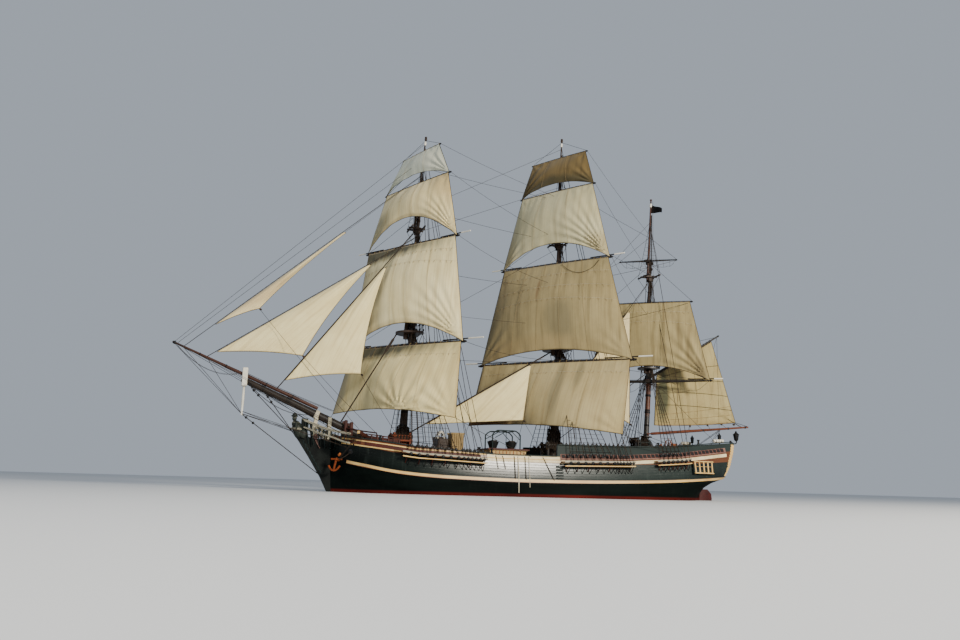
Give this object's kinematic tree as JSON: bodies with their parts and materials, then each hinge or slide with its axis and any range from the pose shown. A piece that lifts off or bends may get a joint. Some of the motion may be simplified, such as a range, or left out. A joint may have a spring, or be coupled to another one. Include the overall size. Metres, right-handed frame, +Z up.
{
  "type": "three-masted square-rigged sailing ship, scale model at 1:2",
  "caption": "Three-masted full-rigged wooden sailing ship under full sail, braced on the starboard tack, with turning yards, spanker, rudder, wheel and capstan; scale model at 1:2.",
  "frame": {"origin": "on the centreline at the load waterline, amidships", "axes": "+X aft, +Y to starboard, +Z up; metres at the model's size, which is half of full size"},
  "size_m": [26.7484, 6.5443, 19.295],
  "materials": {
    "hull_paint": "glossy dark green-grey paint",
    "bulwark_paint": "satin grey-green paint",
    "cream_paint": "satin cream paint",
    "white_paint": "satin white paint",
    "bottom_paint": "matte red bottom paint",
    "dark_spar": "satin near-black paint",
    "brown_spar": "varnished red-brown",
    "rusty_iron": "orange-brown primer",
    "canvas": "cream canvas",
    "pale_canvas": "pale canvas",
    "golden_canvas": "golden-brown canvas",
    "house_wood": "satin tan paint",
    "iron": "painted black",
    "orange_wood": "oiled orange-brown",
    "flag_cloth": "plain black cloth",
    "rope": "tarred rope"
  },
  "bodies": {
    "ship": {"hull": "hull_paint", "quarterdeck_bulwark": "bulwark_paint", "lower_wale": "cream_paint", "head_knee": "hull_paint", "figurehead": "white_paint", "bowsprit": "dark_spar", "jibboom": "brown_spar", "dolphin_striker": "white_paint", "anchor_port": "rusty_iron", "anchor_starboard": "rusty_iron", "fore_lower_mast": "dark_spar", "fore_topmast": "dark_spar", "fore_topgallant_mast": "dark_spar", "main_lower_mast": "dark_spar", "main_topmast": "dark_spar", "main_topgallant_mast": "dark_spar", "mizzen_lower_mast": "dark_spar", "mizzen_topmast": "dark_spar", "mizzen_topgallant_mast": "dark_spar", "flying_jib": "canvas", "jib": "canvas", "fore_topmast_staysail": "canvas", "main_staysail": "canvas", "mizzen_staysail": "canvas", "deckhouse": "house_wood", "deck_arch": "iron", "fore_fife_rail": "orange_wood", "wheel_stand": "brown_spar", "stern_lantern": "iron", "flag": "flag_cloth", "fore_stay": "rope", "fore_topmast_stay": "rope", "main_stay": "rope"},
    "fore_yards": {"fore_yard": "dark_spar", "fore_topsail_yard": "dark_spar", "fore_topgallant_yard": "dark_spar", "fore_royal_yard": "dark_spar", "fore_course": "canvas", "fore_topsail": "canvas", "fore_topgallant_sail": "canvas", "fore_royal": "pale_canvas"},
    "main_yards": {"main_yard": "dark_spar", "main_topsail_yard": "dark_spar", "main_topgallant_yard": "dark_spar", "main_royal_yard": "dark_spar", "main_course": "canvas", "main_topsail": "canvas", "main_topgallant_sail": "canvas", "main_royal": "golden_canvas"},
    "mizzen_yards": {"crossjack_yard": "dark_spar", "mizzen_topsail_yard": "dark_spar", "mizzen_topgallant_yard": "dark_spar", "mizzen_topsail": "canvas"},
    "spanker_rig": {"spanker_gaff": "dark_spar", "spanker_boom": "brown_spar", "spanker": "canvas"},
    "rudder_blade": {"rudder": "bottom_paint"},
    "wheel": {"steering_wheel": "brown_spar"},
    "capstan_drum": {"capstan": "orange_wood"}
  },
  "joints": [
    {"name": "fore_yards_brace", "type": "hinge", "parent": "ship", "child": "fore_yards", "pos_m": [-6.087, 0, 6.3], "axis": [0, 0, 1], "range_deg": [-62, 4]},
    {"name": "main_yards_brace", "type": "hinge", "parent": "ship", "child": "main_yards", "pos_m": [0.9915, 0, 6.05], "axis": [0, 0, 1], "range_deg": [-78, 2]},
    {"name": "mizzen_yards_brace", "type": "hinge", "parent": "ship", "child": "mizzen_yards", "pos_m": [5.7815, 0, 5.525], "axis": [0, 0, 1], "range_deg": [-108, 0]},
    {"name": "spanker_swing", "type": "hinge", "parent": "ship", "child": "spanker_rig", "pos_m": [5.5, 0, 1.55], "axis": [0.0706, 0, 0.9975], "range_deg": [-27, 43]},
    {"name": "rudder_hinge", "type": "hinge", "parent": "ship", "child": "rudder_blade", "pos_m": [8.19, 0, -1.95], "axis": [0.1246, 0, 0.9922], "range_deg": [-35, 35]},
    {"name": "wheel_turn", "type": "hinge", "parent": "ship", "child": "wheel", "pos_m": [6.8, 0, 2.5026], "axis": [1, 0, 0], "range_deg": [-315, 315]},
    {"name": "capstan_turn", "type": "hinge", "parent": "ship", "child": "capstan_drum", "pos_m": [-8, 0, 1.5], "axis": [0, 0, 1], "continuous": true}
  ],
  "couplings": [
    {"joint": "wheel_turn", "follows": "rudder_hinge", "ratio": -9}
  ]
}
